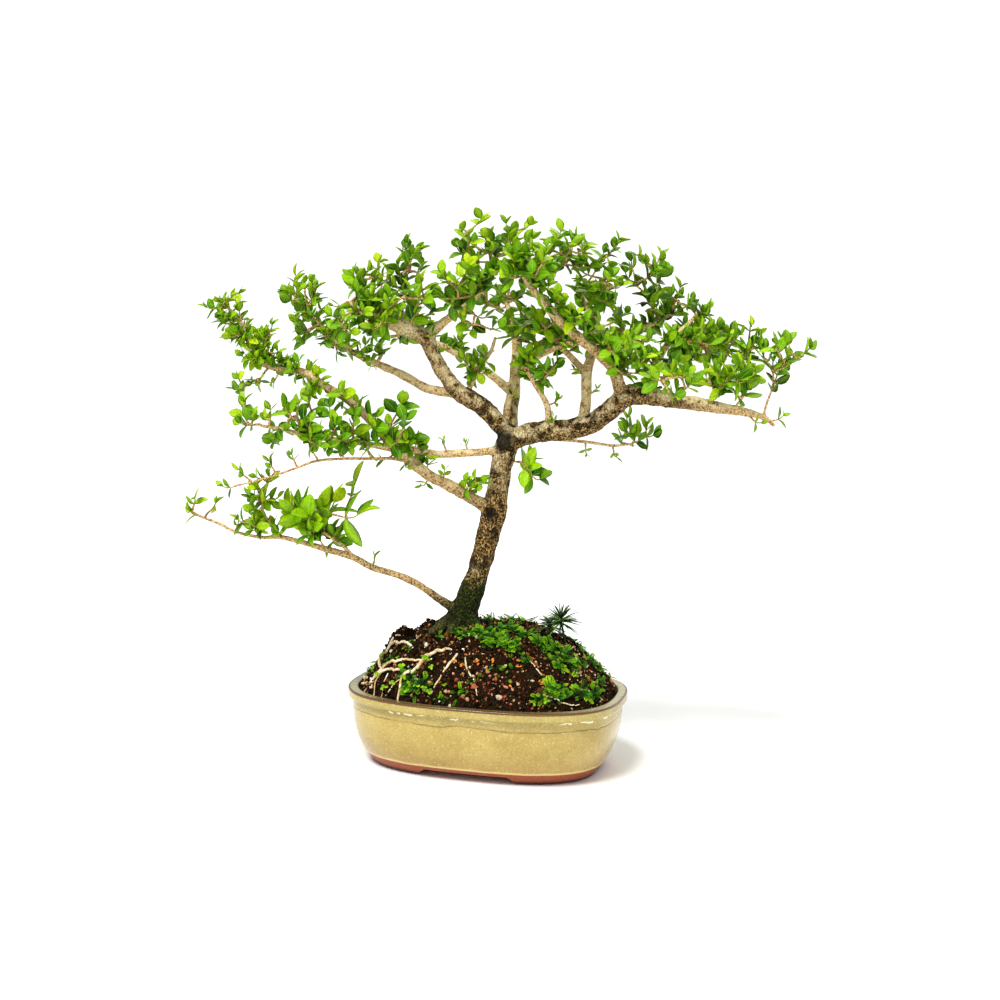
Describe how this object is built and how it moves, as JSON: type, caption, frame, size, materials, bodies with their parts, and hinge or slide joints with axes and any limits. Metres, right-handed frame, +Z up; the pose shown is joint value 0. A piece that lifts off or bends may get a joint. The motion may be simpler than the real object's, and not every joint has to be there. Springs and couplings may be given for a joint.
{
  "type": "potted bonsai tree",
  "caption": "Small-leaved bonsai tree with a leaning trunk and a wide, open crown, growing from a raised soil mound in an oval glazed pot on two feet.",
  "frame": {"origin": "on the surface that the pot stands on, at the middle of the pot's foot ring, which is within 4 mm of the middle of the whole object's box in plan", "axes": "+X along the pot's long side, towards the side the trunk leans to; +Y away from the side the tree is looked at from; +Z up"},
  "size_m": [0.5413, 0.305, 0.497],
  "materials": {
    "glaze": "gloss",
    "soil": "matte",
    "bark": "matte",
    "leaf": "satin",
    "moss": "matte",
    "needle": "matte",
    "stone": "matte",
    "mesh_plastic": "matte",
    "wire": "satin"
  },
  "bodies": {
    "root": {"conifer_seedling": "needle", "drain_screen_left": "mesh_plastic", "drain_screen_right": "mesh_plastic", "foliage_back_far_right": "leaf", "foliage_back_left": "leaf", "foliage_back_mid": "leaf", "foliage_back_right": "leaf", "foliage_centre": "leaf", "foliage_centre_left": "leaf", "foliage_centre_low": "leaf", "foliage_centre_low_left": "leaf", "foliage_inner_shoot": "leaf", "foliage_left_column": "leaf", "foliage_left_column_top": "leaf", "foliage_left_low": "leaf", "foliage_left_low_inner": "leaf", "foliage_left_low_mid": "leaf", "foliage_left_low_tip": "leaf", "foliage_left_spray": "leaf", "foliage_left_tip": "leaf", "foliage_left_twig": "leaf", "foliage_low_big_leaves": "leaf", "foliage_low_shoot": "leaf", "foliage_low_spur": "leaf", "foliage_low_tip": "leaf", "foliage_right_back": "leaf", "foliage_right_far": "leaf", "foliage_right_far_front": "leaf", "foliage_right_front": "leaf", "foliage_right_inner": "leaf", "foliage_right_mid": "leaf", "foliage_right_tip": "leaf", "foliage_right_top": "leaf", "foliage_right_top_tip": "leaf", "foliage_top_left": "leaf", "foliage_top_mid": "leaf", "foliage_top_peak": "leaf", "foliage_top_right": "leaf", "foliage_top_right_tip": "leaf", "foliage_trunk_sprout_left": "leaf", "foliage_trunk_sprout_right": "leaf", "foliage_under_right": "leaf", "foliage_upper_left_inner": "leaf", "foliage_upper_left_mid": "leaf", "foliage_upper_left_tip": "leaf", "foliage_upper_left_top": "leaf", "moss_back": "moss", "moss_behind_trunk": "moss", "moss_front": "moss", "moss_left": "moss", "moss_right": "moss", "moss_right_rim": "moss", "pebble_pale": "stone", "pebble_pink": "stone", "pebble_rust": "stone", "pot": "glaze", "screen_clip_left": "wire", "screen_clip_right": "wire", "soil": "soil", "trunk_and_branches": "bark"}
  },
  "joints": []
}
